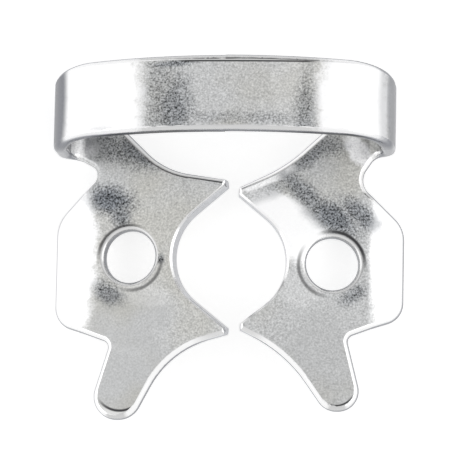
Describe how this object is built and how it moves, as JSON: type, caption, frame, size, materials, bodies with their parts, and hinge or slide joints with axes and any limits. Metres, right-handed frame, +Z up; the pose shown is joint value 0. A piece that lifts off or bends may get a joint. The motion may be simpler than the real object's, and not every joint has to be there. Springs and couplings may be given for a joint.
{
  "type": "rubber dam clamp",
  "caption": "Spring steel rubber dam clamp: an arched bow joins sloping jaws with pronged tooth edges, forceps holes, folded side wings and front lobes.",
  "frame": {"origin": "middle of the footprint, on the surface the clamp rests on with its heels and wings", "axes": "+X across the tooth, +Y towards the bow, +Z up through the top of the bow"},
  "size_m": [0.0214, 0.022, 0.0074],
  "materials": {
    "steel": "satin"
  },
  "bodies": {
    "root": {"clamp": "steel"}
  },
  "joints": []
}
